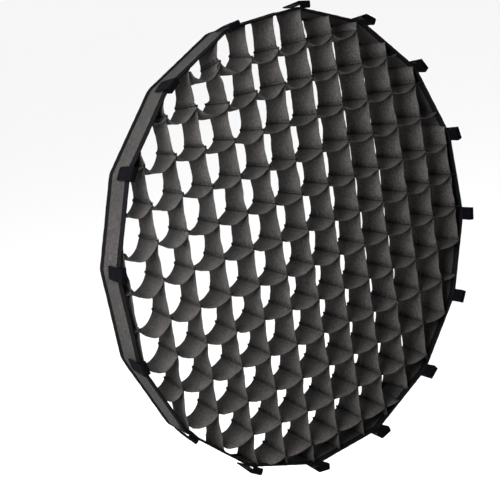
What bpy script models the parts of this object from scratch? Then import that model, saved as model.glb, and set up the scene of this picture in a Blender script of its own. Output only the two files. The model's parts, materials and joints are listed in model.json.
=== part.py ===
"""Fabric light-control grid for a sixteen-rod softbox of the 90 cm class.

The lattice is made of cloth strips that cross each other in half-lap slots. It hangs in a
sixteen-sided band, bound with tape front and back, and a webbing tab at each corner folds
over the softbox's lip.

Frame: +Z is up as used. The open face looks along -Y, and +Y runs back into the softbox.
The origin is the middle of the rim, in the plane of the front hem's edge.
"""

import math

import bmesh
import bpy

# Driving dimensions, in metres
MM = 0.001
RIM_RADIUS = 440 * MM  # over the corners of the front hem
CELL = 69 * MM  # from one strip to the next
DEPTH = 72 * MM  # front to back
CLOTH = 1.0 * MM
BINDING = 1.0 * MM
WEBBING = 1.5 * MM
TAB_WIDTH = 25 * MM
TAB_RISE = 19 * MM  # how far the fold stands forward of the hem
TAB_LEG = 52 * MM  # the free leg, from the fold to its tip
LIP_GAP = 9 * MM  # between the hem's corner and the free leg, for the softbox's lip
HOOK_TAPE = 0.8 * MM
GAP = 0.3 * MM  # left between pieces that are sewn or laid together

# Driving angles and counts
SIDES = 16
MOUTH_TAPER = math.radians(7)  # the softbox narrows towards its back, and the rim with it
TAB_LEAN = math.radians(12.5)  # the folded tabs lie along the outside of the softbox's wall
RIM_TURN = math.radians(3)  # how far the rim's flats are turned from the strips
COLUMNS = 13
ROWS = 12
ROW_SHIFT = 0.35 * CELL  # the first row above the middle

# Sizes that follow from them
HEM_WIDTH = 12 * MM
HEM_THICK = 2 * BINDING + CLOTH + 2 * GAP
STRIP_FRONT = 1 * MM
STRIP_BACK = DEPTH - STRIP_FRONT
STRIP_MIDDLE = DEPTH / 2
SEAM_TAIL = 3 * MM  # the least length of strip beyond a crossing
ROOT_INSET = 2.75 * MM  # from the hem's corner in to the middle of the tab's webbing
ROOT_GRIP = 1.2 * MM  # how far the webbing is sewn into the hem's front fold
HEM_FOLD = 2 * MM  # the solid edge of the folded tape, in front of the band inside it
BEND_RADIUS = 3 * MM
BEND_STEPS = 3
TIP_CHAMFER = 5 * MM
PATCH_WIDTH = 21 * MM
PATCH_START = 17 * MM  # from the fold, along the leg
PATCH_LENGTH = 31 * MM

PARTS = "honeycomb_grid"
JOINED = "joining_pieces"
MERGE = 0.01 * MM  # closer points than this are one


# Scene and materials


def clear_scene():
    for obj in list(bpy.data.objects):
        bpy.data.objects.remove(obj, do_unlink=True)


def collection(name):
    group = bpy.data.collections.get(name)
    if group is None:
        group = bpy.data.collections.new(name)
        bpy.context.scene.collection.children.link(group)
    return group


def material(name, colour, roughness):
    finish = bpy.data.materials.new(name)
    finish.use_nodes = True
    shader = finish.node_tree.nodes["Principled BSDF"]
    shader.inputs["Base Color"].default_value = (*colour, 1)
    shader.inputs["Roughness"].default_value = roughness
    shader.inputs["Metallic"].default_value = 0
    return finish


def add_object(name, data, finish, group=PARTS):
    obj = bpy.data.objects.new(name, data)
    collection(group).objects.link(obj)
    data.materials.append(finish)
    return obj


# Geometry of the rim


def corner_angle(number):
    """Angle of a corner from +X towards +Z; the flats, not the corners, face the strips."""
    return RIM_TURN + math.tau * (number + 0.5) / SIDES


def rim_radius(depth):
    return RIM_RADIUS - depth * math.tan(MOUTH_TAPER)


def chord(level, radius, upright):
    """Low and high end of the line that crosses a sixteen-sided outline at a level.

    An upright line has a fixed X and runs along Z; a cross line has a fixed Z.
    """
    corners = []
    for number in range(SIDES):
        angle = corner_angle(number)
        corners.append((radius * math.cos(angle), radius * math.sin(angle)))
    across, along = (0, 1) if upright else (1, 0)
    ends = []
    for first, second in zip(corners, corners[1:] + corners[:1]):
        before = first[across] - level
        after = second[across] - level
        if before * after < 0:
            share = before / (before - after)
            ends.append(first[along] + share * (second[along] - first[along]))
    return (min(ends), max(ends)) if ends else None


def strip_ends(level, depth, upright):
    """Ends of a strip at one depth, a gap clear of the hems on both of its faces."""
    radius = rim_radius(depth) - HEM_THICK - GAP / math.cos(math.pi / SIDES)
    low_side = chord(level - CLOTH / 2, radius, upright)
    high_side = chord(level + CLOTH / 2, radius, upright)
    return max(low_side[0], high_side[0]), min(low_side[1], high_side[1])


# Lattice


def column_levels():
    return [(number - (COLUMNS - 1) / 2) * CELL for number in range(COLUMNS)]


def row_levels():
    return [(number - ROWS / 2) * CELL + ROW_SHIFT for number in range(ROWS)]


def comb_outline(front, back, crossings, slots_in_front):
    """Outline of a strip laid flat: X along the strip, Y from its front edge to its back."""
    half_slot = CLOTH / 2 + GAP
    front_edge = [(front[0], STRIP_FRONT)]
    back_edge = [(back[1], STRIP_BACK)]
    if slots_in_front:
        floor = STRIP_MIDDLE + GAP / 2
        for place in crossings:
            front_edge += [
                (place - half_slot, STRIP_FRONT),
                (place - half_slot, floor),
                (place + half_slot, floor),
                (place + half_slot, STRIP_FRONT),
            ]
    else:
        floor = STRIP_MIDDLE - GAP / 2
        for place in reversed(crossings):
            back_edge += [
                (place + half_slot, STRIP_BACK),
                (place + half_slot, floor),
                (place - half_slot, floor),
                (place - half_slot, STRIP_BACK),
            ]
    front_edge.append((front[1], STRIP_FRONT))
    back_edge.append((back[0], STRIP_BACK))
    return front_edge + back_edge


def plate(name, outline, thickness, finish):
    """A flat outline as thick as its material, centred on its own XY plane."""
    curve = bpy.data.curves.new(name, "CURVE")
    curve.dimensions = "2D"
    curve.fill_mode = "BOTH"
    curve.extrude = thickness / 2
    spline = curve.splines.new("POLY")
    spline.points.add(len(outline) - 1)
    for point, (x, y) in zip(spline.points, outline):
        point.co = (x, y, 0, 1)
    spline.use_cyclic_u = True
    return add_object(name, curve, finish)


def reaches(level, place, upright):
    """Whether a strip passes a place on its own line with a full seam's length to spare."""
    low, high = strip_ends(level, STRIP_BACK, upright)
    return low + SEAM_TAIL < place < high - SEAM_TAIL


def crosses(column, row):
    return reaches(column, row, True) and reaches(row, column, False)


def upright_strip(name, column, finish):
    front = strip_ends(column, STRIP_FRONT, True)
    back = strip_ends(column, STRIP_BACK, True)
    crossings = [row for row in row_levels() if crosses(column, row)]
    outline = comb_outline(front, back, crossings, slots_in_front=False)
    strip = plate(name, outline, CLOTH, finish)
    strip.location = (column, 0, 0)
    strip.rotation_euler = (0, -math.pi / 2, 0)


def cross_strip(name, row, finish):
    """A cross strip ends against an upright one where the two meet too close to the rim."""
    low_ends, high_ends = zip(
        strip_ends(row, STRIP_FRONT, False), strip_ends(row, STRIP_BACK, False)
    )
    crossings = []
    low_stop = min(low_ends)
    high_stop = max(high_ends)
    for column in column_levels():
        if crosses(column, row):
            crossings.append(column)
        elif column < 0:
            low_stop = max(low_stop, column + CLOTH / 2 + GAP)
        else:
            high_stop = min(high_stop, column - CLOTH / 2 - GAP)
    front = (max(low_ends[0], low_stop), min(high_ends[0], high_stop))
    back = (max(low_ends[1], low_stop), min(high_ends[1], high_stop))
    outline = comb_outline(front, back, crossings, slots_in_front=True)
    strip = plate(name, outline, CLOTH, finish)
    strip.location = (0, 0, row)


def build_lattice(finish):
    for number, column in enumerate(column_levels(), start=1):
        upright_strip(f"vertical_strip_{number:02d}", column, finish)
    for number, row in enumerate(row_levels(), start=1):
        cross_strip(f"horizontal_strip_{number:02d}", row, finish)


# Rim


def rim_ring(name, section, finish):
    """A sixteen-sided ring: a closed section, given as inset and depth, turned about Y."""
    mesh = bpy.data.meshes.new(name)
    form = bmesh.new()
    corners = [form.verts.new((rim_radius(depth) - inset, depth, 0)) for inset, depth in section]
    for first, second in zip(corners, corners[1:] + corners[:1]):
        form.edges.new((first, second))
    form.to_mesh(mesh)
    form.free()
    ring = add_object(name, mesh, finish)
    ring.rotation_euler = (0, -corner_angle(0), 0)
    turn = ring.modifiers.new("turn", "SCREW")
    turn.axis = "Y"
    turn.steps = SIDES
    turn.render_steps = SIDES
    turn.use_merge_vertices = True
    turn.merge_threshold = MERGE
    turn.use_smooth_shade = False
    turn.use_normal_flip = True
    return ring


def hem_section(edge, inner_edge, fold):
    """Tape folded round the band's edge: a U whose legs reach from edge to inner_edge."""
    inner_face = BINDING + CLOTH + 2 * GAP
    return [
        (0, edge),
        (0, inner_edge),
        (BINDING, inner_edge),
        (BINDING, fold),
        (inner_face, fold),
        (inner_face, inner_edge),
        (HEM_THICK, inner_edge),
        (HEM_THICK, edge),
    ]


def build_rim(cloth, tape, webbing):
    wall_inset = BINDING + GAP
    wall_front = HEM_FOLD + GAP
    wall_back = DEPTH - HEM_FOLD - GAP
    rim_ring(
        "rim_wall",
        [
            (wall_inset, wall_front),
            (wall_inset, wall_back),
            (wall_inset + CLOTH, wall_back),
            (wall_inset + CLOTH, wall_front),
        ],
        cloth,
    )
    front_hem = rim_ring("front_hem", hem_section(0, HEM_WIDTH, HEM_FOLD), tape)
    sew_in = front_hem.modifiers.new("sewn_tab_roots", "BOOLEAN")
    sew_in.operation = "UNION"
    sew_in.solver = "EXACT"
    sew_in.object = tab_roots(webbing)
    back_section = hem_section(DEPTH, DEPTH - HEM_WIDTH, DEPTH - HEM_FOLD)
    rim_ring("back_hem", list(reversed(back_section)), tape)


# Tabs


def fold_path():
    """Middle line of the fixed webbing: out of the hem, forward, and over the lip."""
    inner = RIM_RADIUS - ROOT_INSET
    outer = RIM_RADIUS + LIP_GAP + WEBBING
    path = [(inner, ROOT_GRIP)]
    for step in range(BEND_STEPS + 1):
        turn = step / BEND_STEPS * math.pi / 2
        path.append(
            (
                inner + BEND_RADIUS * (1 - math.cos(turn)),
                -TAB_RISE + BEND_RADIUS * (1 - math.sin(turn)),
            )
        )
    path.append((outer, -TAB_RISE))
    return path


def tab_roots(finish):
    """The fixed parts of all the tabs, as ribbons that Solidify makes as thick as webbing."""
    mesh = bpy.data.meshes.new("tab_roots")
    form = bmesh.new()
    for number in range(SIDES):
        angle = corner_angle(number)
        tangent = (-math.sin(angle), 0, math.cos(angle))
        line = []
        for radius, depth in fold_path():
            centre = (radius * math.cos(angle), depth, radius * math.sin(angle))
            line.append([c - t * TAB_WIDTH / 2 for c, t in zip(centre, tangent)])
        corners = [form.verts.new(place) for place in line]
        edges = [form.edges.new(pair) for pair in zip(corners, corners[1:])]
        grown = bmesh.ops.extrude_edge_only(form, edges=edges)["geom"]
        moved = [item for item in grown if isinstance(item, bmesh.types.BMVert)]
        bmesh.ops.translate(form, verts=moved, vec=[t * TAB_WIDTH for t in tangent])
    form.to_mesh(mesh)
    form.free()
    roots = add_object("tab_roots", mesh, finish, group=JOINED)
    roots.hide_render = True
    roots.display_type = "WIRE"
    thicken = roots.modifiers.new("webbing", "SOLIDIFY")
    thicken.thickness = WEBBING
    thicken.offset = 0
    thicken.use_even_offset = True
    return roots


def leg_outline():
    """The free leg laid flat: X across the webbing, Y from its fold to its tip."""
    half = TAB_WIDTH / 2
    return [
        (-half, 0),
        (half, 0),
        (half, TAB_LEG - TIP_CHAMFER),
        (half - TIP_CHAMFER, TAB_LEG),
        (TIP_CHAMFER - half, TAB_LEG),
        (-half, TAB_LEG - TIP_CHAMFER),
    ]


def patch_outline():
    half = PATCH_WIDTH / 2
    far = PATCH_START + PATCH_LENGTH
    return [(-half, PATCH_START), (half, PATCH_START), (half, far), (-half, far)]


def build_tab(number, webbing, hook):
    """One free leg and its hook patch, hung on an empty that lies on the fold's axis."""
    name = f"tab_{number + 1:02d}"
    angle = corner_angle(number)
    half_gap = GAP / 2
    radius = RIM_RADIUS + LIP_GAP + WEBBING + half_gap
    depth = -TAB_RISE + WEBBING / 2 + half_gap
    fold = bpy.data.objects.new(f"{name}_fold", None)
    collection(PARTS).objects.link(fold)
    fold.location = (radius * math.cos(angle), depth, radius * math.sin(angle))
    fold.rotation_euler = (0, -angle, 0)

    # The outline's X turns onto the fold's axis and its Y leans in with the softbox's wall
    lean = (0, -math.pi / 2, TAB_LEAN)
    strap = plate(f"{name}_strap", leg_outline(), WEBBING, webbing)
    patch = plate(f"{name}_hook_patch", patch_outline(), HOOK_TAPE, hook)
    for piece in (strap, patch):
        piece.parent = fold
        piece.rotation_euler = lean
    strap.location = (-half_gap - WEBBING / 2, half_gap, 0)
    inward = WEBBING / 2 + GAP + HOOK_TAPE / 2
    patch.location = (
        strap.location.x - inward * math.cos(TAB_LEAN),
        strap.location.y - inward * math.sin(TAB_LEAN),
        0,
    )


def main():
    clear_scene()
    cloth = material("grid_cloth", (0.045, 0.043, 0.042), 0.88)
    tape = material("binding_tape", (0.016, 0.016, 0.017), 0.8)
    webbing = material("webbing", (0.012, 0.012, 0.014), 0.7)
    hook = material("hook_tape", (0.02, 0.02, 0.022), 0.6)
    build_lattice(cloth)
    build_rim(cloth, tape, webbing)
    for number in range(SIDES):
        build_tab(number, webbing, hook)
    bpy.context.view_layer.update()


main()
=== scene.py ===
"""Looks of a fabric light-control grid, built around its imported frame.

The lattice is black cloth ribbons sewn together at every crossing. It hangs in a bound,
sixteen-sided cloth band with a folded webbing tab at each corner. Cloth, tape, webbing,
hook tape and every seam are meshes here, in metres, in the frame's own axes: +Z up, the
open face towards -Y, the softbox towards +Y.
"""

import json
import math

import bpy
import numpy as np
from mathutils import Matrix, Vector


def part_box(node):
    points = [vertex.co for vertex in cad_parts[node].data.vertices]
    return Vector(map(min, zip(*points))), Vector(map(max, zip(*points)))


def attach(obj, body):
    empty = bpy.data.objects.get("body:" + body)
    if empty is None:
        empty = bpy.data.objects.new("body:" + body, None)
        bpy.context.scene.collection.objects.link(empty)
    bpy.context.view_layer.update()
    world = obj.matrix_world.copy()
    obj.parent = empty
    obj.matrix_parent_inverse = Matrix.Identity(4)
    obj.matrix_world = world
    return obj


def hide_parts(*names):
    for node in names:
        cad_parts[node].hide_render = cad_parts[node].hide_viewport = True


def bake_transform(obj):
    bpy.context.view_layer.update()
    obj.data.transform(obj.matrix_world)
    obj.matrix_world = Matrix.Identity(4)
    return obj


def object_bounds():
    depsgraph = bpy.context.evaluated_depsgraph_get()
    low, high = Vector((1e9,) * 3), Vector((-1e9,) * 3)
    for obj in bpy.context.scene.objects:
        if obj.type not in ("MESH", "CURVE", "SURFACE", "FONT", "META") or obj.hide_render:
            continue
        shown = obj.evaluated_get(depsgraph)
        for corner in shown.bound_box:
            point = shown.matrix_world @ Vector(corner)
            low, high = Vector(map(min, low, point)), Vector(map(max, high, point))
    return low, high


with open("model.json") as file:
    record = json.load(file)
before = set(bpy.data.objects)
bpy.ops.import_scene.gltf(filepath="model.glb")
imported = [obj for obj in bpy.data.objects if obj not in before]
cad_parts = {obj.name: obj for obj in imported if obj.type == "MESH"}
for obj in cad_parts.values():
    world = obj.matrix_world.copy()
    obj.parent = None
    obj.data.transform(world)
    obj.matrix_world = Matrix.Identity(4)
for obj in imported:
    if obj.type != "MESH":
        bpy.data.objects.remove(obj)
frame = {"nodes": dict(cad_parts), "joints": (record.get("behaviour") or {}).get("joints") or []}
cad_low, cad_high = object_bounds()

MM = 0.001
TAU = math.tau
SEED = 11

# Cloth, tape and thread
CLOTH = 0.8 * MM  # thickness of the lattice's cloth
TAPE = 0.9 * MM  # thickness of the binding tape
WEB = 1.5 * MM  # thickness of the webbing
THREAD = 0.34 * MM  # radius of the sewing thread
STITCH = 4.0 * MM  # from one stitch to the next
STITCH_SHARE = 0.66  # of that, the thread that shows
TACK = 1.1 * MM  # from one stitch of a bar tack to the next

# Faces of one cell's wall
CELL_STEPS = 14  # rows in its open middle
SEAM_STEPS = 16  # rows in the gathered cloth over a seam
FOOT_STEPS = 5  # rows in the cloth under a seam
DEPTH_STEPS = 56  # columns from its front edge to its back edge
CROSS_STEPS = 40  # the same on a cross strip
SEAM_BAND = 13 * MM  # height of the gathered cloth over a seam
FOOT_BAND = 6 * MM  # height of the cloth under a seam
SEAM_FLAP = 5.2 * MM  # the turned edge that is sewn up against an upright wall

# How the lattice hangs in the rim
DOME = 8.2 * MM  # the middle stands this much further forward than the strips' ends
LIFT = 2.6 * MM  # the crossings away from the rim stand this much higher
BACK_LIFT = 2.8 * MM  # and their back ends by this much more
SINK = 3.8 * MM  # of which the middle loses this much again
CONVERGE = 0.03  # the strips draw together towards the back, as the rim does
WANDER = 1.6 * MM  # how far a crossing strays from its place
LOOSE_HEIGHT, LOOSE_RISE = 0.17, 0.2  # where the loose cloth starts, and grows to its loosest
LOOSE_SIDE, LOOSE_RUN = 0.12, 0.3  # the same towards the left
LOOSE_WANDER = 1.5  # the share that it strays more in loose cloth
LOOSE_SLACK = 6.0 * MM  # and what it strays there besides

# How the cloth of one cell hangs between its seams
UPRIGHT_BOW = 6.7 * MM  # an upright wall's back edge is pulled forward between two seams
BOW_TO_RIGHT = -0.5 * MM  # what that gains from the middle to the right of the rim
BOW_TO_TOP = -5.0 * MM  # and to its top
UPRIGHT_ARCH = 0.58  # below 1, the cloth bows out close to its seams already
FRONT_SWAY = -3.9 * MM  # an upright wall's front edge swings to the left
BACK_SWAY = 0.4 * MM  # its back edge swings to the right
BELLY = 2.2 * MM  # the middle of a wall swells to one side
FRONT_SAG = 9.5 * MM  # a cross wall's front edge hangs down between two seams
FRONT_SAG_TO_RIGHT = -0.5 * MM
FRONT_SAG_TO_TOP = 6.0 * MM
BACK_SAG = 11.0 * MM  # and so does its back edge
BACK_SAG_TO_RIGHT = -3.0 * MM
BACK_SAG_TO_TOP = 3.0 * MM
SIDE_SAG = 11.0 * MM  # both sag by this much more next to the rim's left side
CROSS_REACH = 3.8 * MM  # its front edge comes forward as it hangs
CROSS_BOW = 4.2 * MM  # its back edge is pulled forward
CROSS_FRONT_ARCH = 0.52
CROSS_BACK_ARCH = 0.8
CROSS_TAUT = 0.35  # the share that its front edge sags less at its right seam
CROSS_LEAN = 1.06  # above 1, a cross wall's front edge hangs lowest right of its middle

# Gathers over a seam: least and greatest, in millimetres
GROOVE_COUNT = (7, 11)
GROOVE_WIDTH = (1.2, 2.1)
GROOVE_REACH = (6.0, 13.0)  # up the wall
GROOVE_DEPTH = (0.9, 2.1)
GROOVE_LEAN = 0.07  # the most that one leans over, as a share of the strip's depth
FOOT_GROOVE = 0.6 * MM  # its depth under the next seam
PUCKER_PITCH = (2.6, 3.3)
PUCKER_OUT = 0.9 * MM
PUCKER_FORWARD = 0.5 * MM

# Turned edges, their stitches and the bar tacks
FLAP_ROWS, FLAP_COLUMNS = 9, 45
LOCK_HEIGHT = 1.5 * MM  # the lock stitches' height over the crossing
OVERLOCK = 1.6 * MM  # from the raw edge down to the foot of an overlock stitch
OVERLOCK_PAST = 0.7 * MM  # and up past it
CLEAR = 0.1 * MM  # between two cloths, or a thread and its cloth
TACK_LOOPS = 7
TACK_PITCH = 0.62 * MM
TACK_HALF = 1.9 * MM  # half of its width
TACK_OUT = 1.1 * MM  # how far a loop stands out over the edge
TACK_IN = 1.9 * MM  # how far its ends reach in beside the seam


def lerp(low, high, share):
    return low + (high - low) * share


def smooth(value):
    """0 below 0, 1 above 1, with level ends in between."""
    value = np.clip(value, 0, 1)
    return value * value * (3 - 2 * value)


def bump(distance, width):
    """1 at no distance, fading to 0 over about two widths."""
    return np.exp(-((distance / width) ** 2))


# Frame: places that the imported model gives


def middle_of(node, axis):
    low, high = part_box(node)
    return (low[axis] + high[axis]) / 2


def nodes_named(start):
    return sorted(name for name in frame["nodes"] if name.startswith(start))


def corner_radius(node, front):
    """Distance of a rim ring's outer corners from the middle, at its front or its back."""
    # The webbing roots, which are part of the front hem, stand forward of its edge
    places = [vertex.co for vertex in frame["nodes"][node].data.vertices if vertex.co.y > -MM / 2]
    edge = min(place.y for place in places) if front else max(place.y for place in places)
    return max(math.hypot(p.x, p.z) for p in places if abs(p.y - edge) < MM / 2)


COLUMNS = [middle_of(name, 0) for name in nodes_named("vertical_strip")]
ROWS = [middle_of(name, 2) for name in nodes_named("horizontal_strip")]
CELL = COLUMNS[1] - COLUMNS[0]
HINGES = [Vector(joint["pos_m"]) for joint in frame["joints"]]
CORNERS = [math.atan2(hinge.z, hinge.x) for hinge in HINGES]
SIDES = len(CORNERS)
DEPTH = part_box("back_hem")[1].y
HEM_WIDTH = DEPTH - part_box("back_hem")[0].y
FRONT_RADIUS = corner_radius("front_hem", True)
BACK_RADIUS = corner_radius("back_hem", False)
MIDDLE_STRIP = nodes_named("vertical_strip")[len(COLUMNS) // 2]
STRIP_FRONT, STRIP_BACK = [end.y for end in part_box(MIDDLE_STRIP)]
STRIP_DEPTH = STRIP_BACK - STRIP_FRONT
TAB_FRONT = cad_low.y + WEB / 2  # depth of the webbing's middle where it crosses the lip
HEM_THICK = 3.6 * MM
HEM_MIDDLE = HEM_THICK / 2  # from the hem's corner in to the band's middle
WALL_INSET = 2.6 * MM  # from the hem's corner in to the band's inner face
SEAM_TAIL = 3 * MM  # the least length of strip beyond a crossing


def rim_radius(depth):
    return lerp(FRONT_RADIUS, BACK_RADIUS, depth / DEPTH)


def chord(level, radius, upright):
    """Low and high end of the upright or cross line at a level, inside the rim's outline."""
    across, along = (0, 1) if upright else (1, 0)
    corners = [(radius * math.cos(angle), radius * math.sin(angle)) for angle in CORNERS]
    ends = []
    for first, second in zip(corners, corners[1:] + corners[:1]):
        before = first[across] - level
        after = second[across] - level
        if before * after < 0:
            ends.append(lerp(first[along], second[along], before / (before - after)))
    return min(ends), max(ends)


def reaches(level, place, upright):
    """Whether a strip at this level gets as far as a crossing at this place."""
    low, high = chord(level, rim_radius(STRIP_BACK) - HEM_THICK, upright)
    return low + SEAM_TAIL < place < high - SEAM_TAIL


def crosses(column, row):
    return reaches(column, row, True) and reaches(row, column, False)


# Repeatable unevenness


def waves(seed, length):
    """A smooth uneven field over space, about -1 to 1, with features of about this length."""
    count = 7
    rng = np.random.default_rng(SEED * 1000 + seed)
    headings = rng.normal(size=(count, 3))
    headings /= np.linalg.norm(headings, axis=1)[:, None]
    pitch = TAU / length * rng.uniform(0.6, 1.6, count)
    phase = rng.uniform(0, TAU, count)

    def field(places):
        return np.sin((places @ headings.T) * pitch + phase).sum(-1) / math.sqrt(count)

    return field


CREASE = waves(1, 46 * MM)
RIPPLE = waves(2, 17 * MM)
DRIFT_X = waves(3, 230 * MM)
DRIFT_Z = waves(4, 230 * MM)
CRUMPLE = waves(5, 90 * MM)


def looseness(place):
    """0 where the lattice hangs taut, towards 1 in the slack cloth at the rim's upper left."""
    x, _, z = place
    return float(smooth((z - LOOSE_HEIGHT) / LOOSE_RISE) * smooth((LOOSE_SIDE - x) / LOOSE_RUN))


def crossing(column, row):
    """Front and back point of the seam where two strips cross."""
    middle = max(0.0, 1 - (column**2 + row**2) / FRONT_RADIUS**2)
    free = min(1.0, 4 * middle)  # 0 at the rim
    drawn = np.array([column, 0, row])
    wander = WANDER * free * (1 + LOOSE_WANDER * looseness(drawn))
    slack = LOOSE_SLACK * free * looseness(drawn)
    points = []
    for depth, back in ((STRIP_FRONT, 0), (STRIP_BACK, 1)):
        spot = drawn + np.array([0, 0.2 * back, 0])  # so that the back end strays by itself
        narrow = 1 - CONVERGE * back
        x = column * narrow + wander * DRIFT_X(drawn) + slack * CRUMPLE(spot)
        z = row * narrow + free * (LIFT + BACK_LIFT * back) - SINK * middle
        z = z + wander * DRIFT_Z(drawn) + slack * CREASE(spot)
        points.append([x, depth - DOME * middle, z])
    return np.array(points)


def rim_seam(level, upright, high):
    """Front and back point of a strip's end, on the inner face of the band."""
    points = []
    for depth, back in ((STRIP_FRONT, 0), (STRIP_BACK, 1)):
        here = level * (1 - CONVERGE * back)
        end = chord(here, rim_radius(depth) - WALL_INSET, upright)[1 if high else 0]
        points.append([here, depth, end] if upright else [end, depth, here])
    return np.array(points)


# Meshes

PAINTED_SHADE = "painted_shade_mark"  # a mesh's mark for painted shade in the seams, creases and front edges, 0 to 1


def add_object(name, data):
    obj = bpy.data.objects.new(name, data)
    bpy.context.scene.collection.objects.link(obj)
    return obj


def mesh_object(name, points, faces, uvs, material, marks=None):
    """A smooth mesh from points and quads; uvs, in metres of cloth, and marks go by point."""
    mesh = bpy.data.meshes.new(name)
    mesh.from_pydata(points.tolist(), [], faces.tolist())
    layer = mesh.uv_layers.new(name="cloth")
    loops = np.zeros(len(mesh.loops), int)
    mesh.loops.foreach_get("vertex_index", loops)
    layer.data.foreach_set("uv", uvs[loops].astype(np.float32).ravel())
    if marks is not None:
        mesh.attributes.new(PAINTED_SHADE, "FLOAT", "POINT").data.foreach_set("value", marks)
    mesh.shade_smooth()
    mesh.materials.append(material)
    return add_object(name, mesh)


def cloth_map(along, across):
    """A grid's own coordinates, in metres of cloth, from those of its rows and columns."""
    return np.stack(np.meshgrid(along, across, indexing="ij"), -1)


def grid_faces(rows, columns, wrap_rows=False):
    """Quads between the points of a grid that is stored row by row."""
    row = np.arange(rows if wrap_rows else rows - 1)
    row, column = [side.ravel() for side in np.meshgrid(row, np.arange(columns - 1), indexing="ij")]
    here = row * columns + column
    above = (row + 1) % rows * columns + column
    return np.stack([here, here + 1, above + 1, above], -1)


class Patchwork:
    """Several grids and threads joined into one mesh."""

    def __init__(self):
        self.points, self.faces, self.uvs, self.marks, self.count = [], [], [], [], 0

    def take(self, points, faces, uv, marks=None):
        self.points.append(points)
        self.faces.append(faces + self.count)
        self.uvs.append(uv)
        self.marks.append(np.zeros(len(points)) if marks is None else marks)
        self.count += len(points)

    def add(self, grid, uv, wrap_rows=False, marks=None):
        rows, columns = grid.shape[:2]
        faces = grid_faces(rows, columns, wrap_rows)
        marks = None if marks is None else marks.ravel()
        self.take(grid.reshape(-1, 3), faces, uv.reshape(-1, 2), marks)

    def add_threads(self, paths, binormals, radius=THREAD):
        """A closed six-sided tube along each path; a binormal is square to its path's plane."""
        paths = np.asarray(paths)
        count, steps, _ = paths.shape
        sides = 6
        tangents = np.gradient(paths, axis=1)
        tangents /= np.linalg.norm(tangents, axis=2)[..., None]
        binormals = np.broadcast_to(np.asarray(binormals)[..., None, :], paths.shape)
        normals = np.cross(tangents, binormals)
        turn = TAU * np.arange(sides) / sides
        ends = np.linspace(-1, 1, steps)
        girth = radius * np.sqrt(1 - 0.75 * ends**6)[None, :, None, None]
        across, out = np.cos(turn)[:, None], np.sin(turn)[:, None]
        spokes = across * binormals[:, :, None] + out * normals[:, :, None]
        rings = paths[:, :, None] + girth * spokes
        ring = np.arange(steps - 1)[:, None] * sides
        side = np.arange(sides)[None]
        after = (side + 1) % sides
        skin = np.stack([ring + side, ring + after, ring + sides + after, ring + sides + side], -1)
        last = (steps - 1) * sides
        first_cap = np.array([[3, 2, 1, 0], [5, 4, 3, 0]])
        last_cap = np.array([[0, 1, 2, 3], [0, 3, 4, 5]]) + last
        one = np.concatenate([skin.reshape(-1, 4), first_cap, last_cap])
        starts = np.arange(count)[:, None, None] * steps * sides
        points = rings.reshape(-1, 3)
        self.take(points, (one[None] + starts).reshape(-1, 4), points[:, [0, 2]] + points[:, 1:2])

    def build(self, name, material):
        points, faces, uvs, marks = (
            np.concatenate(part) for part in (self.points, self.faces, self.uvs, self.marks)
        )
        return mesh_object(name, points, faces, uvs, material, marks)


def thicken(obj, thickness):
    solid = obj.modifiers.new("thickness", "SOLIDIFY")
    solid.thickness = thickness
    solid.offset = 0
    solid.use_quality_normals = True


def run_lengths(line):
    """Distance along a line of points to each of them."""
    return np.cumsum(np.linalg.norm(np.diff(line, axis=0, prepend=line[:1]), axis=1))


def unit(vectors):
    return vectors / np.linalg.norm(vectors, axis=-1, keepdims=True)


def dashes(starts, ends, normals):
    """Paths of stitches that rise out of the cloth, run along it and dive back in."""
    share = np.linspace(0, 1, 4)
    rise = (np.sin(np.pi * share) ** 0.5 - 0.5) * 2 * THREAD
    paths = lerp(starts[:, None], ends[:, None], share[None, :, None])
    return paths + rise[None, :, None] * normals[:, None]


def sew(cloth, starts, ends, normals):
    """Adds a row of stitches to a mesh; every argument is one vector for each stitch."""
    binormals = unit(np.cross(unit(ends - starts), normals))
    cloth.add_threads(dashes(starts, ends, normals), binormals)


def stitch_places(length):
    """Start and end of each stitch in a run, as shares of its length."""
    count = max(1, round(length / STITCH))
    middles = (np.arange(count) + 0.5) / count
    half = STITCH_SHARE / 2 / count
    return middles - half, middles + half


def sew_line(cloth, start, end, normal):
    """A straight row of stitches between two points."""
    start, end, normal = (np.asarray(place, float) for place in (start, end, normal))
    first, last = stitch_places(np.linalg.norm(end - start))
    normals = np.broadcast_to(normal, (len(first), 3))
    sew(cloth, lerp(start, end, first[:, None]), lerp(start, end, last[:, None]), normals)


def thread_piece(cloth, name, body):
    piece = cloth.build(name, THREAD_BLACK)
    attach(piece, body)


# Materials

FADE_SCALE = 9.0  # noise scales, in features to a metre
BLOTCH_SCALE = 300.0
GRAIN_SCALE = 620.0
SLUB_SCALE = (60.0, 900.0, 1.0)  # along the threads, and across them
PAINTED_SHADE_STOPS = [(0.0, 1.0), (0.6, 0.62), (1.0, 0.22)]  # the share of colour left at each mark of painted shade
ROUGH_SPREAD = 0.07
FUZZ = 0.8  # the grain's share in the relief, against the weave's
RELIEF = 0.6


def new_node(tree, kind, **values):
    """A shader node with these input values; an underscore stands for a space."""
    node = tree.nodes.new("ShaderNode" + kind)
    for entry, value in values.items():
        node.inputs[entry.replace("_", " ")].default_value = value
    return node


def link(source, output, target, entry):
    source.id_data.links.new(source.outputs[output], target.inputs[entry])


def new_material(name, roughness, gloss):
    material = bpy.data.materials.new(name)
    material.use_nodes = True
    shader = material.node_tree.nodes["Principled BSDF"]
    shader.inputs["Roughness"].default_value = roughness
    shader.inputs["Specular IOR Level"].default_value = gloss
    return material, material.node_tree, shader


def noise_node(tree, source, output, scale, detail):
    noise = new_node(tree, "TexNoise", Scale=scale, Detail=detail)
    link(source, output, noise, "Vector")
    return noise


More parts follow.
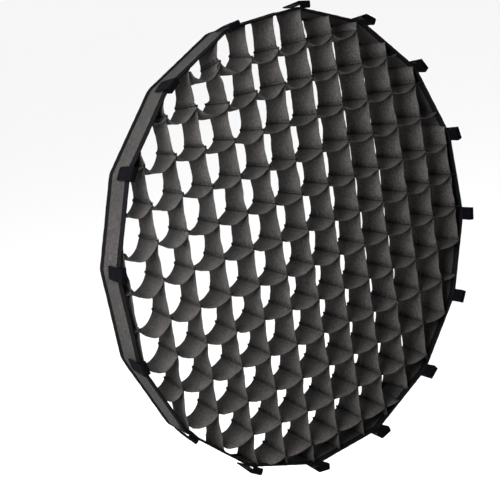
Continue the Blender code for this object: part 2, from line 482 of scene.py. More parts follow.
def ramp_node(tree, source, output, stops):
    """A colour ramp from (place, colour) stops."""
    ramp = new_node(tree, "ValToRGB")
    elements = ramp.color_ramp.elements
    while len(elements) < len(stops):
        elements.new(0.5)
    for element, (place, colour) in zip(elements, stops):
        element.position = place
        element.color = (*colour, 1)
    link(source, output, ramp, "Fac")
    return ramp


def shade(colour, factor):
    return tuple(channel * factor for channel in colour)


def contrast(low, high, change, colour=(1, 1, 1)):
    """Ramp stops that darken a colour at one place and lighten it at the other."""
    return [(low, shade(colour, 1 - change)), (high, shade(colour, 1 + change))]


def maths(tree, operation, first, second):
    """A Math node whose two inputs are each a number or a (node, output) pair."""
    node = new_node(tree, "Math")
    node.operation = operation
    for entry, value in enumerate((first, second)):
        if isinstance(value, tuple):
            link(*value, node, entry)
        else:
            node.inputs[entry].default_value = value
    return node


def weave_height(tree, coordinates, thread):
    """Plain weave in the cloth's own metres: warp over weft, then weft over warp."""
    split = new_node(tree, "SeparateXYZ")
    link(coordinates, "UV", split, "Vector")
    pitch = math.pi / thread
    turned = [maths(tree, "MULTIPLY", (split, axis), pitch) for axis in ("X", "Y")]
    warp, weft = [maths(tree, "SINE", (node, 0), 0.0) for node in turned]
    return maths(tree, "MULTIPLY", (warp, 0), (weft, 0))


def cloth_material(name, colour, roughness, gloss, thread, weave_depth, speckle, wear):
    """Woven cloth: weave, slubs that run with the threads, a fine speckle and soft fading."""
    material, tree, shader = new_material(name, roughness, gloss)
    coordinates = new_node(tree, "TexCoord")
    weave = weave_height(tree, coordinates, thread)

    # Colour: broad fading, then threads of uneven darkness, then speckle
    fade = noise_node(tree, coordinates, "Object", FADE_SCALE, 3.0)
    tint = ramp_node(tree, fade, "Fac", contrast(0.3, 0.7, wear, colour))
    output = "Color"
    grain = noise_node(tree, coordinates, "Object", GRAIN_SCALE, 1.0)
    grain_ramp = ramp_node(tree, grain, "Fac", contrast(0.35, 0.72, speckle))
    stretch = new_node(tree, "Mapping", Scale=SLUB_SCALE)
    link(coordinates, "UV", stretch, "Vector")
    slub = noise_node(tree, stretch, "Vector", 1.0, 2.0)
    slub_ramp = ramp_node(tree, slub, "Fac", contrast(0.3, 0.7, speckle * 0.6))
    blotch = noise_node(tree, coordinates, "Object", BLOTCH_SCALE, 2.0)
    blotch_ramp = ramp_node(tree, blotch, "Fac", contrast(0.36, 0.64, speckle * 0.7))

    # Painted shade: darker in the seams, creases and along the front edges, by each mesh's mark
    painted_shade_mark = new_node(tree, "Attribute")
    painted_shade_mark.attribute_name = PAINTED_SHADE
    seam_ramp = ramp_node(tree, painted_shade_mark, "Fac", [(at, (left,) * 3) for at, left in PAINTED_SHADE_STOPS])
    for layer in (grain_ramp, slub_ramp, blotch_ramp, seam_ramp):
        mix = new_node(tree, "Mix", Factor=1.0)
        mix.data_type = "RGBA"
        mix.blend_type = "MULTIPLY"
        link(tint, output, mix, "A")
        link(layer, "Color", mix, "B")
        tint, output = mix, "Result"
    link(tint, output, shader, "Base Color")

    # Roughness follows the speckle, and the bump is the weave with a little fuzz
    least, most = roughness - ROUGH_SPREAD, roughness + ROUGH_SPREAD
    rough = new_node(tree, "MapRange", To_Min=least, To_Max=most)
    link(grain, "Fac", rough, "Value")
    link(rough, "Result", shader, "Roughness")
    fuzz = maths(tree, "MULTIPLY", (grain, "Fac"), FUZZ)
    height = maths(tree, "ADD", (weave, 0), (fuzz, 0))
    relief = new_node(tree, "Bump", Strength=RELIEF, Distance=weave_depth)
    link(height, 0, relief, "Height")
    link(relief, "Normal", shader, "Normal")
    return material


PLAIN = {"roughness": 0.88, "thread": 0.42 * MM, "weave_depth": 0.1 * MM, "speckle": 0.5, "wear": 0.14}
GRID_CLOTH = cloth_material("grid_cloth", colour=(0.0190, 0.0174, 0.0166), gloss=0.12, **PLAIN)
BAND_CLOTH = cloth_material("band_cloth", colour=(0.0105, 0.0098, 0.0094), gloss=0.08, **PLAIN)
BINDING = cloth_material(
    "binding_tape", colour=(0.0018, 0.0018, 0.0020), roughness=0.85, gloss=0.006,
    thread=0.9 * MM, weave_depth=0.18 * MM, speckle=0.30, wear=0.15,
)
WEBBING = cloth_material(
    "webbing", colour=(0.0009, 0.0009, 0.0013), roughness=0.66, gloss=0.006,
    thread=1.1 * MM, weave_depth=0.22 * MM, speckle=0.25, wear=0.12,
)
HOOK_TAPE = cloth_material(
    "hook_tape", colour=(0.0055, 0.0055, 0.0062), roughness=0.50, gloss=0.1,
    thread=0.6 * MM, weave_depth=0.10 * MM, speckle=0.25, wear=0.12,
)
THREAD_BLACK = cloth_material(
    "thread", colour=(0.0018, 0.0018, 0.0022), roughness=0.70, gloss=0.01,
    thread=0.3 * MM, weave_depth=0.05 * MM, speckle=0.20, wear=0.10,
)


# Lattice


def sample_shares(length, low_seam, high_seam):
    """Shares of a wall's length at which it has rows of points, closer at its seams."""
    low_band = min(SEAM_BAND, length * 0.3) if low_seam else 0
    high_band = min(FOOT_BAND, length * 0.2) if high_seam else 0
    open_length = length - low_band - high_band
    middle_steps = max(2, round(CELL_STEPS * open_length / (CELL - SEAM_BAND)))
    parts = []
    if low_band:
        parts.append(np.linspace(0, low_band, SEAM_STEPS, endpoint=False))
    parts.append(np.linspace(low_band, length - high_band, middle_steps, endpoint=not high_band))
    if high_band:
        parts.append(np.linspace(length - high_band, length, FOOT_STEPS + 1))
    return np.concatenate(parts) / length


def arch(share, power):
    """0 at both seams and 1 half way."""
    return np.sin(np.pi * np.clip(share, 0, 1)) ** power


def between_seams(seams, share, depth_share):
    """The flat sheet between two seams, each given as its front and back point."""
    low, high = seams
    low_line = lerp(low[0], low[1], depth_share[..., None])
    high_line = lerp(high[0], high[1], depth_share[..., None])
    return lerp(low_line, high_line, share[..., None])


def cell_rng(kind, line, number):
    return np.random.default_rng([SEED, kind, line, number])


def seam_length(seams):
    """From one seam to the next, along the front edge."""
    return float(np.linalg.norm(seams[1][0] - seams[0][0]))


def wall_facts(seams, give):
    """A cell wall's length, looseness and slack, and its place to the right and up, -1 to 1."""
    length = seam_length(seams)
    middle = (seams[0][0] + seams[1][0]) / 2
    loose = looseness(middle)
    slack = min(1.0, length / CELL) ** 1.5 * (1 + give * loose)
    return length, loose, slack, middle[0] / FRONT_RADIUS, middle[2] / FRONT_RADIUS


def upright_wall(line, number, seams, share, depth_share):
    """Points of one cell's stretch of an upright strip, and how much painted shade each gets, 0 to 1.

    share runs up the wall, and depth_share from its front edge to its back edge.
    """
    rng = cell_rng(1, line, number)
    height, loose, slack, right, up = wall_facts(seams, 0.9)
    places = between_seams(seams, share, depth_share)

    hang = arch(share, UPRIGHT_ARCH)
    bow = UPRIGHT_BOW + BOW_TO_RIGHT * right + BOW_TO_TOP * up
    bow *= slack * rng.uniform(0.8, 1.2)
    front_sway = (FRONT_SWAY + rng.uniform(-1.0, 1.0) * MM) * slack
    back_sway = (BACK_SWAY + rng.uniform(-1.4, 1.4) * MM) * slack
    belly = BELLY * slack * rng.uniform(-0.2, 1.0)
    places[..., 1] -= bow * hang * depth_share**1.3
    places[..., 0] += hang * lerp(front_sway, back_sway, depth_share)
    places[..., 0] += belly * hang * np.sin(np.pi * depth_share)

    # A fold along the seam, 4 mm over it
    over = share * height  # above the lower seam
    under = (1 - share) * height  # below the upper seam
    fold = over / (4 * MM)
    places[..., 0] -= 0.9 * MM * fold * np.exp(1 - fold) * slack

    # Gathers over the seam, and shallower ones under the next
    # Painted shade: darker over the lower seam and under the next, over the seam towards the front,
    # and in the crease along it
    seam = np.maximum(bump(over, 9 * MM), 0.6 * bump(under, 5 * MM))
    marks = 0.6 * seam + 0.3 * bump(over, 16 * MM) * (1 - depth_share) + 0.5 * bump(over, 1.3 * MM)
    tuck = np.zeros_like(share)
    grooves = rng.integers(*GROOVE_COUNT)
    for spot in (np.arange(grooves) + rng.uniform(0.2, 0.8, grooves)) / grooves:
        lean = rng.uniform(-GROOVE_LEAN, GROOVE_LEAN)
        across = (depth_share - spot - lean * over / SEAM_BAND) * DEPTH
        groove = bump(across, rng.uniform(*GROOVE_WIDTH) * MM)
        reach = rng.uniform(*GROOVE_REACH) * MM
        tuck += rng.uniform(*GROOVE_DEPTH) * MM * groove * bump(over, reach)
        tuck += FOOT_GROOVE * groove * bump(under, 4 * MM)
        # Painted shade in each groove of the gathers
        marks += 0.8 * bump(across, 1.2 * MM) * bump(over - 5 * MM, 0.4 * reach)
    places[..., 0] += tuck

    # The front edge puckers where the seam's thread is pulled tight
    edge = bump(depth_share * DEPTH, 7 * MM)
    pucker = np.sin(TAU * over / rng.uniform(*PUCKER_PITCH) / MM + rng.uniform(0, TAU))
    pucker = pucker * edge * bump(over, 8 * MM) * smooth(over / (1.5 * MM))
    places[..., 0] += PUCKER_OUT * pucker
    places[..., 1] -= PUCKER_FORWARD * pucker

    # Unevenness, which fades out at the seams so that the strips still meet
    away = smooth(np.minimum(over, under) / (9 * MM))
    uneven = 0.9 * MM * CREASE(places) + 0.3 * MM * RIPPLE(places)
    places[..., 0] += away * (uneven + 5.0 * MM * loose * CRUMPLE(places))
    places[..., 1] += away * 3.0 * MM * loose * CREASE(places)
    # Painted shade along the front edge as well
    return places, np.clip(marks + 0.5 * bump(depth_share * DEPTH, 1.2 * MM), 0, 1)


def cross_wall(line, number, seams, share, depth_share):
    """The same for a cross strip; share runs from left to right."""
    rng = cell_rng(2, line, number)
    length, loose, slack, right, up = wall_facts(seams, 0.7)
    places = between_seams(seams, share, depth_share)

    front_hang = arch(share**CROSS_LEAN, CROSS_FRONT_ARCH)
    front_hang *= 1 - CROSS_TAUT * smooth((share - 0.4) / 0.6)
    back_hang = arch(share, CROSS_BACK_ARCH)
    side_sag = SIDE_SAG * float(smooth((-right - 0.45) / 0.4))
    front_sag = FRONT_SAG + FRONT_SAG_TO_RIGHT * right + FRONT_SAG_TO_TOP * up + side_sag
    back_sag = BACK_SAG + BACK_SAG_TO_RIGHT * right + BACK_SAG_TO_TOP * up + side_sag
    front_sag *= slack * rng.uniform(0.85, 1.15)
    back_sag *= slack * rng.uniform(0.85, 1.15)
    places[..., 2] -= lerp(front_sag * front_hang, back_sag * back_hang, depth_share)
    reach = CROSS_REACH * slack * rng.uniform(0.6, 1.4)
    back_bow = CROSS_BOW * slack * rng.uniform(0.7, 1.3)
    places[..., 1] -= lerp(reach * front_hang, back_bow * back_hang, depth_share)
    places[..., 2] += rng.uniform(-1.5, 1.5) * MM * back_hang * np.sin(np.pi * depth_share)

    # Small ripples next to both seams, and unevenness between them
    near = np.minimum(share, 1 - share) * length
    ripple = np.sin(TAU * depth_share * DEPTH / (7.5 * MM) + rng.uniform(0, TAU))
    places[..., 2] += 0.35 * MM * ripple * bump(near - 3 * MM, 4 * MM) * smooth(near / (2 * MM))
    away = smooth(near / (9 * MM))
    uneven = 0.8 * MM * CREASE(places) + 0.3 * MM * RIPPLE(places)
    places[..., 2] += away * (uneven + 4.0 * MM * loose * CRUMPLE(places))
    # Painted shade: darker next to both seams, more at the right one, and along the front edge
    left, right = share * length, (1 - share) * length
    marks = 0.6 * np.maximum(bump(left, 7 * MM), bump(right, 13 * MM)) * (1 - 0.3 * depth_share)
    marks += 0.5 * bump(near, 1.5 * MM) + 0.6 * bump(depth_share * DEPTH, 1.2 * MM)
    return places, np.clip(marks, 0, 1)


def seams_along(level, upright):
    """The seams of a strip in order, each as its front and back point."""
    if upright:
        inner = [crossing(level, row) for row in ROWS if crosses(level, row)]
    else:
        inner = [crossing(column, level) for column in COLUMNS if crosses(column, level)]
    low = rim_seam(level, upright, high=False)
    high = rim_seam(level, upright, high=True)
    if not upright:
        # A cross strip ends on the first upright strip that it can't pass
        for column in COLUMNS:
            if not crosses(column, level):
                if low[0][0] < column < 0:
                    low = crossing(column, level)
                elif 0 < column < high[0][0]:
                    high = crossing(column, level)
                    break
    return [low, *inner, high]


def strip_grid(wall, line, level, upright):
    """The whole strip as a grid of points, with its cloth coordinates and its painted shade marks."""
    seams = seams_along(level, upright)
    steps = DEPTH_STEPS if upright else CROSS_STEPS
    depth_share = np.linspace(0, 1, steps + 1)
    rows, lengths, marks = [], [], []
    start = 0.0
    for number, pair in enumerate(zip(seams, seams[1:])):
        length = seam_length(pair)
        shares = sample_shares(length, number > 0, number < len(seams) - 2)
        if number:
            shares = shares[1:]
        share, across = np.meshgrid(shares, depth_share, indexing="ij")
        places, shade_marks = wall(line, number, pair, share, across)
        rows.append(places)
        marks.append(shade_marks)
        lengths.append(start + shares * length)
        start += length
    along = np.concatenate(lengths)
    uv = cloth_map(along, depth_share * DEPTH)
    return np.concatenate(rows), uv, np.concatenate(marks)


def build_strip(name, node, wall, line, level, upright):
    number = f"{line + 1:02d}"
    grid, uv, marks = strip_grid(wall, line, level, upright)
    cloth = Patchwork()
    cloth.add(grid, uv, marks=marks)
    strip = cloth.build(f"{name}_{number}", GRID_CLOTH)
    thicken(strip, CLOTH)
    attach(strip, "root")
    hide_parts(f"{node}_{number}")


def face_of(line, number, seams, heights, depth_shares, side, stand_off):
    """Points on one side of an upright wall, at heights over its lower seam, in metres."""
    share = heights / seam_length(seams)
    places, _ = upright_wall(line, number, seams, share, depth_shares)
    places[..., 0] += side * stand_off
    return places


def build_seams(line, column):
    """The turned edges of the cross strips along one upright strip, sewn to both its sides."""
    seams = seams_along(column, True)
    flaps = Patchwork()
    threads = Patchwork()
    first, last = stitch_places(STRIP_DEPTH)
    out = 1.5 * CLOTH + CLEAR
    heights = np.linspace(0.3 * MM, SEAM_FLAP, FLAP_ROWS)
    shares = np.linspace(0.01, 0.99, FLAP_COLUMNS)
    for number in range(1, len(seams) - 1):
        pair = (seams[number], seams[number + 1])
        for side in (-1, 1):
            height, across = np.meshgrid(heights, shares, indexing="ij")
            lift = CLOTH + CLEAR + 0.25 * MM * height / SEAM_FLAP
            places = face_of(line, number, pair, height, across, side, lift)
            # Painted shade on the turned edge, darkest along its lock stitches
            shade_marks = 0.5 + 0.5 * bump(height - LOCK_HEIGHT, 1.0 * MM)
            flaps.add(places, np.stack([across * STRIP_DEPTH, height], -1), marks=shade_marks)

            # Lock stitches through both flaps and the strip between them
            level = np.full_like(first, LOCK_HEIGHT)
            starts = face_of(line, number, pair, level, first, side, out)
            ends = face_of(line, number, pair, level, last, side, out)
            normals = np.broadcast_to([float(side), 0.0, 0.0], starts.shape)
            sew(threads, starts, ends, normals)

            # Overlocking: short upright stitches over the flap's raw edge
            spots = (first + last) / 2
            foot = np.full_like(spots, SEAM_FLAP - OVERLOCK)
            head = np.full_like(spots, SEAM_FLAP) + OVERLOCK_PAST
            starts = face_of(line, number, pair, foot, spots, side, out + 0.3 * MM)
            ends = face_of(line, number, pair, head, spots, side, out + CLEAR)
            sew(threads, starts, ends, normals)
        add_tack(threads, seams[number][0], -1)
        add_tack(threads, seams[number][1], 1)
    piece = flaps.build(f"seam_edges_{line + 1:02d}", GRID_CLOTH)
    thicken(piece, CLOTH * 0.8)
    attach(piece, "root")
    thread_piece(threads, f"seam_stitching_{line + 1:02d}", "root")


def add_tack(threads, place, out):
    """A bar tack over the edge of a crossing: thread wrapped from one side to the other."""
    rng = np.random.default_rng([SEED, 3, *(np.abs(place * 1e4)).astype(int)])
    turn = np.linspace(-1, 1, 7)
    for number in range(TACK_LOOPS):
        level = (number - 1.5) * TACK_PITCH
        side = TACK_HALF * np.sign(turn) * np.abs(turn) ** 0.6 * rng.uniform(0.85, 1.15)
        depth = TACK_OUT * (1 - np.abs(turn) ** 2.5) - TACK_IN * np.abs(turn) ** 2.5
        path = np.stack([side, out * depth * rng.uniform(0.8, 1.2), np.zeros_like(turn)], -1)
        path += place + np.array([0, 0, level])
        threads.add_threads(path[None], np.array([[0.0, 0.0, 1.0]]), radius=THREAD * 1.15)


def build_lattice():
    for line, column in enumerate(COLUMNS):
        build_strip("upright_cloth", "vertical_strip", upright_wall, line, column, True)
        build_seams(line, column)
    for line, row in enumerate(ROWS):
        build_strip("cross_cloth", "horizontal_strip", cross_wall, line, row, False)


# Rim

RIM_WAVE = waves(8, 55 * MM)
HEM_WAVE = waves(9, 14 * MM)
CORNER_SHARE = 0.035  # of a side at each end, over which a corner is rounded
OUTLINE_STEP = 2.6 * MM
BAND_MARGIN = 2.6 * MM  # from the band's edge to the rim's
BAND_RUFFLE = 0.7 * MM
HEM_RUFFLE = 0.22 * MM
SEAM_MARGIN = 2.2 * MM  # from the tape's edge to its stitches


def direction(angle):
    return np.array([math.cos(angle), math.sin(angle)])


def at_depth(place, depth=0.0):
    """A place in the rim's plane, or a direction there, with its depth."""
    return np.array([place[0], depth, place[1]])


def rim_outline():
    """Points of the rim's outline for corners at distance 1, with each corner a little round."""
    places = []
    for number in range(SIDES):
        here = direction(CORNERS[number])
        there = direction(CORNERS[(number + 1) % SIDES])
        leave = lerp(here, there, CORNER_SHARE)
        arrive = lerp(here, direction(CORNERS[number - 1]), CORNER_SHARE)
        for turn in np.linspace(0, 1, 5):
            places.append(lerp(lerp(arrive, here, turn), lerp(here, leave, turn), turn))
        side = np.linalg.norm(there - here) * FRONT_RADIUS
        count = max(2, round(side * (1 - 2 * CORNER_SHARE) / OUTLINE_STEP))
        for share in np.linspace(CORNER_SHARE, 1 - CORNER_SHARE, count + 1)[1:-1]:
            places.append(lerp(here, there, share))
    return np.array(places)


def ring_grid(outline, section, ruffle):
    """A section of (inset, depth) points swept round the rim's outline."""
    section = np.array(section)
    radius = rim_radius(section[:, 1]) - section[:, 0]
    grid = np.zeros((len(outline), len(section), 3))
    grid[..., 0] = outline[:, None, 0] * radius[None]
    grid[..., 2] = outline[:, None, 1] * radius[None]
    grid[..., 1] = section[None, :, 1]
    outward = np.insert(outline, 1, 0, axis=1)
    return grid + outward[:, None] * ruffle(grid)[..., None]


def fold_section(edge, inner_edge):
    """Middle line of a tape folded round the band's edge: outer leg, fold, inner leg."""
    sign = 1 if inner_edge > edge else -1
    half = HEM_MIDDLE - TAPE / 2
    turn = []
    for a in np.linspace(0, math.pi, 7):
        depth = edge + sign * (TAPE / 2 + 0.6 * half * (1 - math.sin(a)))
        turn.append((HEM_MIDDLE - half * math.cos(a), depth))
    legs = np.linspace(inner_edge, turn[0][1], 6)[:-1]
    outer = [(HEM_MIDDLE - half, depth) for depth in legs]
    inner = [(HEM_MIDDLE + half, depth) for depth in reversed(legs)]
    return outer + turn + inner


def build_ring(name, node, section, material, thickness, ruffle):
    outline = rim_outline()
    grid = ring_grid(outline, section, ruffle)
    across = run_lengths(section)
    cloth = Patchwork()
    cloth.add(grid, cloth_map(run_lengths(outline) * FRONT_RADIUS, across), wrap_rows=True)
    ring = cloth.build(name, material)
    thicken(ring, thickness)
    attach(ring, "root")
    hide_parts(node)


def sew_hem(name, depth):
    """A row of stitches round the hem, through both of its faces."""
    threads = Patchwork()
    for number in range(SIDES):
        here, there = direction(CORNERS[number]), direction(CORNERS[(number + 1) % SIDES])
        out = unit(here + there)
        for face, inset in ((1, 0), (-1, HEM_THICK)):
            radius = rim_radius(depth) - inset
            ends = [lerp(here, there, s) * radius for s in (CORNER_SHARE, 1 - CORNER_SHARE)]
            normal = at_depth(out) * face
            start, end = [at_depth(place, depth) + normal * CLEAR for place in ends]
            sew_line(threads, start, end, normal)
    thread_piece(threads, name, "root")


def build_rim():
    band = [(HEM_MIDDLE, depth) for depth in np.linspace(BAND_MARGIN, DEPTH - BAND_MARGIN, 26)]

    def band_ruffle(grid):
        inside = np.minimum(grid[..., 1], DEPTH - grid[..., 1]) - HEM_WIDTH
        return smooth(inside / (12 * MM)) * BAND_RUFFLE * RIM_WAVE(grid)

    def hem_ruffle(grid):
        return HEM_RUFFLE * HEM_WAVE(grid)

    build_ring(
        "rim_band", "rim_wall", band, BAND_CLOTH, CLOTH, band_ruffle,
    )
    for end, edge, inner_edge in (("front", 0, HEM_WIDTH), ("back", DEPTH, DEPTH - HEM_WIDTH)):
        tape = fold_section(edge, inner_edge)
        build_ring(
            f"{end}_binding", f"{end}_hem", tape, BINDING, TAPE, hem_ruffle,
        )
    sew_hem("front_binding_stitching", HEM_WIDTH - SEAM_MARGIN)
    sew_hem("back_binding_stitching", DEPTH - HEM_WIDTH + SEAM_MARGIN)


# Tabs

TAB_WIDTH = 25 * MM
TAB_COLUMNS = 50
ROOT_INSET = 2.75 * MM  # from the hem's corner in to the middle of the webbing
ROOT_GRIP = 1.2 * MM  # how far the webbing runs into the front hem's fold
BEND = 2.6 * MM  # radius of its middle line at each bend
RIB_PITCH = 2.5 * MM
RIB_HEIGHT = 0.13 * MM
TIP_ROUND = 5 * MM
LEG_GAP = 0.9 * MM  # from the fold's axis in to the middle of the leg
PATCH_THICK = 0.8 * MM
PATCH_HALF = 10.5 * MM  # half of the hook tape's width
PATCH_GRID = (20, 15)
PATCH_SEAM = 1.3 * MM  # from the hook tape's edge to its stitches
HOOK_PITCH = 1.6 * MM
HOOK_HEIGHT = 1.0 * MM
HOOK_WIRE = 0.13 * MM  # radius of a hook
BARE_START, BARE_END = 2.6 * MM, 2 * MM  # the margins of the tape without hooks
ROOT_TACK = 9.0 * MM  # from the corner to each bar tack of a tab's root


def tab_frame(number):
    """Matrix from a tab's own axes (out from the rim, back, along the rim) to the frame's."""
    out = direction(CORNERS[number])
    return np.array([at_depth(out), [0, 1, 0], [-out[1], 0, out[0]]])


def tab_name(number):
    return f"tab_{number + 1:02d}"


def node_places(name, matrix):
    """The corners of a node's solid, in a tab's own axes."""
    return np.array([vertex.co for vertex in frame["nodes"][name].data.vertices]) @ matrix.T


def leg_facts(number):
    """Start, direction and length of the free leg's middle line, and its patch, from the frame."""
    hinge = HINGES[number]
    matrix = tab_frame(number)
    strap = node_places(f"{tab_name(number)}_strap", matrix)
    patch = node_places(f"{tab_name(number)}_hook_patch", matrix)
    start = np.array([math.hypot(hinge.x, hinge.z) - LEG_GAP, hinge.y])
    far = strap[strap[:, 1] > strap[:, 1].max() - 1.0 * MM][:, :2].mean(0)
    run = unit(far - start)
    reach = (strap[:, :2] - start) @ run
    patch_reach = (patch[:, :2] - start) @ run
    return start, run, float(reach.max()), (float(patch_reach.min()), float(patch_reach.max()))


def tab_line(start, run, length):
    """Middle line of a tab's webbing, as (radius, depth): out of the hem, over the lip, back."""
    inner = FRONT_RADIUS - ROOT_INSET
    line = [(inner, depth) for depth in np.linspace(ROOT_GRIP, TAB_FRONT + BEND, 12)]
    for turn in np.linspace(0, math.pi / 2, 8)[1:]:
        rise = BEND * (1 - math.sin(turn))
        line.append((inner + BEND * (1 - math.cos(turn)), TAB_FRONT + rise))
    lean = math.atan2(-run[0], run[1])
    across = np.array([math.cos(lean), math.sin(lean)])
    level = TAB_FRONT + BEND
    centre = (across @ start - BEND - math.sin(lean) * level) / math.cos(lean)
    crest = np.linspace(inner + BEND, centre, 8)[1:]
    line += [(radius, TAB_FRONT) for radius in crest]
    for turn in np.linspace(0, math.pi / 2 + lean, 10)[1:]:
        line.append((centre + BEND * math.sin(turn), level - BEND * math.cos(turn)))
    begin = np.array(line[-1])
    left = length - (begin - start) @ run
    line += [tuple(begin + run * reach) for reach in np.linspace(0, left, 44)[1:]]
    return np.array(line)


def ribbon_grid(number, line, half, tip):
    """A ribbon along a line in a tab's own axes; the last stretch, tip long, is rounded."""
    along = run_lengths(line)
    across = np.linspace(-half, half, TAB_COLUMNS + 1)
    short = np.clip(1 - (along[-1] - along) / tip, 0, 1)
    width = 1 - tip / half * (1 - np.sqrt(1 - short**2))
    normal = np.gradient(line, axis=0)
    normal = unit(np.stack([normal[:, 1], -normal[:, 0]], -1))
    rib = RIB_HEIGHT * np.cos(TAU * across / RIB_PITCH) * (np.abs(across) < half - 1.0 * MM)
    local = np.zeros((len(line), TAB_COLUMNS + 1, 3))
    local[..., :2] = line[:, None] + normal[:, None] * rib[None, :, None]
    local[..., 2] = across[None] * width[:, None]
    return local @ tab_frame(number), cloth_map(along, across)


def build_webbing(number, start, run, length):
    name = tab_name(number)
    line = tab_line(start, run, length)
    grid, uv = ribbon_grid(number, line, TAB_WIDTH / 2, TIP_ROUND)
    web = Patchwork()
    web.add(grid, uv)
    strap = web.build(f"{name}_webbing", WEBBING)
    thicken(strap, WEB)
    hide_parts(f"{name}_strap")
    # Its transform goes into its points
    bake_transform(strap)


def build_hook_tape(number, start, run, reach):
    """A square of hook tape on the leg's inner face: its base, and rows of stiff hooks."""
    name = tab_name(number)
    matrix = tab_frame(number)
    low, high = reach
    inward = np.array([-run[1], run[0]])  # towards the softbox's wall
    middle = start + inward * (WEB / 2 + 0.3 * MM + PATCH_THICK / 2)
    along = np.linspace(low, high, PATCH_GRID[0])
    across = np.linspace(-PATCH_HALF, PATCH_HALF, PATCH_GRID[1])
    grid = np.zeros((*PATCH_GRID, 3))
    grid[..., :2] = (middle + along[:, None] * run)[:, None]
    grid[..., 2] = across[None]
    base = Patchwork()
    base.add(grid @ matrix, cloth_map(along, across))
    tape = base.build(f"{name}_hook_tape", HOOK_TAPE)
    thicken(tape, PATCH_THICK)
    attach(tape, name)
    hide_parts(f"{name}_hook_patch")

    hooks = Patchwork()
    rows = np.arange(low + BARE_START, high - BARE_END, HOOK_PITCH)
    columns = np.arange(-PATCH_HALF + BARE_START, PATCH_HALF - BARE_END, HOOK_PITCH)
    reach_at, side_at = [side.ravel() for side in np.meshgrid(rows, columns, indexing="ij")]
    turn = np.linspace(0, 0.8 * math.pi, 5)
    curl = 0.4 * HOOK_HEIGHT
    forward = np.concatenate([[0], curl * (1 - np.cos(turn))])
    height = np.concatenate([[-0.2 * MM], HOOK_HEIGHT - curl + curl * np.sin(turn)])
    foot = middle + inward * PATCH_THICK / 2 + reach_at[:, None] * run
    paths = np.zeros((len(foot), len(height), 3))
    paths[..., :2] = foot[:, None] + height[None, :, None] * inward + forward[None, :, None] * run
    paths[..., 2] = side_at[:, None]
    hooks.add_threads(paths @ matrix, np.broadcast_to(matrix[2], (len(foot), 3)), HOOK_WIRE)
    piece = hooks.build(f"{name}_hooks", HOOK_TAPE)
    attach(piece, name)


def sew_patch(number, start, run, reach):
    """The rectangle of stitches that holds the hook tape, seen on the leg's outer face."""
    matrix = tab_frame(number)
    low, high = reach[0] + PATCH_SEAM, reach[1] - PATCH_SEAM
    half = PATCH_HALF - PATCH_SEAM
    threads = Patchwork()
    inward = np.array([-run[1], run[0]])
    for face, off in ((-1, WEB / 2 + RIB_HEIGHT), (1, WEB / 2 + 0.35 * MM + PATCH_THICK)):
        middle = start + inward * face * off
        corners = [
            np.array([*(middle + run * along), side])
            for along, side in ((low, -half), (high, -half), (high, half), (low, half))
        ]
        normal = np.array([*(inward * face), 0])
        for first, second in zip(corners, corners[1:] + corners[:1]):
            sew_line(threads, first @ matrix, second @ matrix, normal @ matrix)
    name = tab_name(number)
    thread_piece(threads, f"{name}_stitching", name)


def sew_root(threads, number):
    """Two bar tacks through the hem, where a tab's webbing is sewn into it."""
    here = direction(CORNERS[number])
    for neighbour in (CORNERS[number - 1], CORNERS[(number + 1) % SIDES]):
        there = direction(neighbour)
        out = unit(here + there)
        side_length = np.linalg.norm(there - here) * FRONT_RADIUS
        along_rim = unit(there - here)
        for face, inset in ((1, 0), (-1, HEM_THICK)):
            normal = at_depth(out) * face
            for depth in np.arange(1.8 * MM, HEM_WIDTH - 3.0 * MM, TACK):
                spot = lerp(here, there, ROOT_TACK / side_length) * (rim_radius(depth) - inset)
                middle = at_depth(spot, depth) + normal * CLEAR
                reach = at_depth(along_rim) * 1.2 * MM
                sew(threads, (middle - reach)[None], (middle + reach)[None], normal[None])


def build_tabs():
    roots = Patchwork()
    for number in range(SIDES):
        start, run, length, reach = leg_facts(number)
        build_webbing(number, start, run, length)
        build_hook_tape(number, start, run, reach)
        sew_patch(number, start, run, reach)
        sew_root(roots, number)
    thread_piece(roots, "tab_root_stitching", "root")


# Floor, light and camera

FLOOR_REACH = 60.0
FLOOR_DROP = 0.75  # under the grid's lowest point
FLOOR_COLOUR = (0.93, 0.93, 0.93, 1)
FRONT_SKY = 0.12
BACK_SKY = 1.82
SEEN_SKY = 0.93  # what the camera sees past the floor's far edge
KEY_PLACE = (-1.5, -0.6, 0.75)
KEY_AIM = (-0.2, 0, 0)
KEY_SIZE = 1.2
KEY_POWER = 240
CAMERA_AZIMUTH, CAMERA_ELEVATION, CAMERA_ROLL = 38.571, 13.863, 9.370  # degrees
CAMERA_AIM = (-0.14389, 0, 0.02286)
CAMERA_DISTANCE = 2.71682
CAMERA_LENS, CAMERA_SENSOR = 106.44, 36  # millimetres


def build_floor():
    signs = np.array([(-1, -1), (1, -1), (1, 1), (-1, 1)])
    corners = np.insert(signs * FLOOR_REACH, 2, cad_low.z - FLOOR_DROP, axis=1)
    material, _, shader = new_material("floor", 0.9, 0.1)
    shader.inputs["Base Color"].default_value = FLOOR_COLOUR
    floor = mesh_object("floor", corners, np.array([[0, 1, 2, 3]]), corners[:, :2], material)


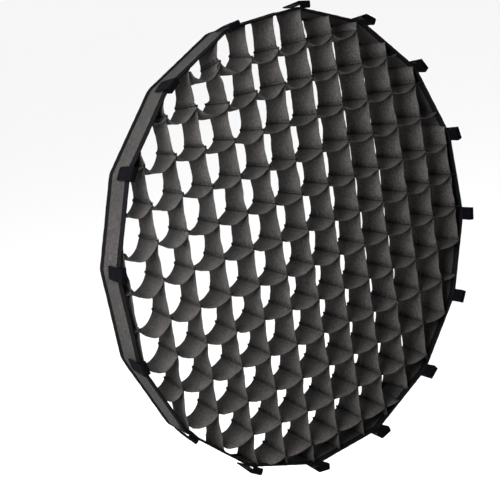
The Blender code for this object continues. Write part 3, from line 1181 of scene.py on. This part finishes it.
def build_light():
    """A pale studio: bright behind the grid, dimmer in front, and one soft lamp to its left."""
    scene = bpy.context.scene
    world = bpy.data.worlds.new("studio")
    scene.world = world
    world.use_nodes = True
    tree = world.node_tree
    background = tree.nodes["Background"]
    background.inputs["Color"].default_value = (1, 1, 1, 1)
    heading = new_node(tree, "TexCoord")
    split = new_node(tree, "SeparateXYZ")
    link(heading, "Generated", split, "Vector")
    fade = new_node(tree, "MapRange", From_Min=-0.5, From_Max=0.5, To_Min=FRONT_SKY, To_Max=BACK_SKY)
    fade.interpolation_type = "SMOOTHSTEP"
    link(split, "Y", fade, "Value")
    seen = new_node(tree, "LightPath")
    sky = new_node(tree, "Mix", B=SEEN_SKY)
    link(seen, "Is Camera Ray", sky, "Factor")
    link(fade, "Result", sky, "A")
    link(sky, "Result", background, "Strength")

    lamp = bpy.data.lights.new("key_light", "AREA")
    lamp.shape = "DISK"
    lamp.size = KEY_SIZE
    lamp.energy = KEY_POWER
    light = add_object("key_light", lamp)
    light.location = KEY_PLACE
    light.visible_camera = False
    light.rotation_euler = (Vector(KEY_AIM) - Vector(KEY_PLACE)).to_track_quat("-Z", "Y").to_euler()
    scene.view_settings.view_transform = "Standard"
    scene.view_settings.look = "None"


def build_camera():
    """The camera looks down a little from the left, and leans over to its right."""
    azimuth, elevation = math.radians(CAMERA_AZIMUTH), math.radians(CAMERA_ELEVATION)
    level = math.cos(elevation)
    look = Vector((math.sin(azimuth) * level, math.cos(azimuth) * level, -math.sin(elevation)))
    lens = bpy.data.cameras.new("camera")
    lens.lens = CAMERA_LENS
    lens.sensor_width = CAMERA_SENSOR
    camera = add_object("camera", lens)
    roll = Matrix.Rotation(-math.radians(CAMERA_ROLL), 3, "Z")
    turn = look.to_track_quat("-Z", "Y").to_matrix() @ roll
    place = Vector(CAMERA_AIM) - look * CAMERA_DISTANCE
    camera.matrix_world = Matrix.Translation(place) @ turn.to_4x4()
    bpy.context.scene.camera = camera


build_camera()
build_floor()
build_light()
build_rim()
build_lattice()
build_tabs()
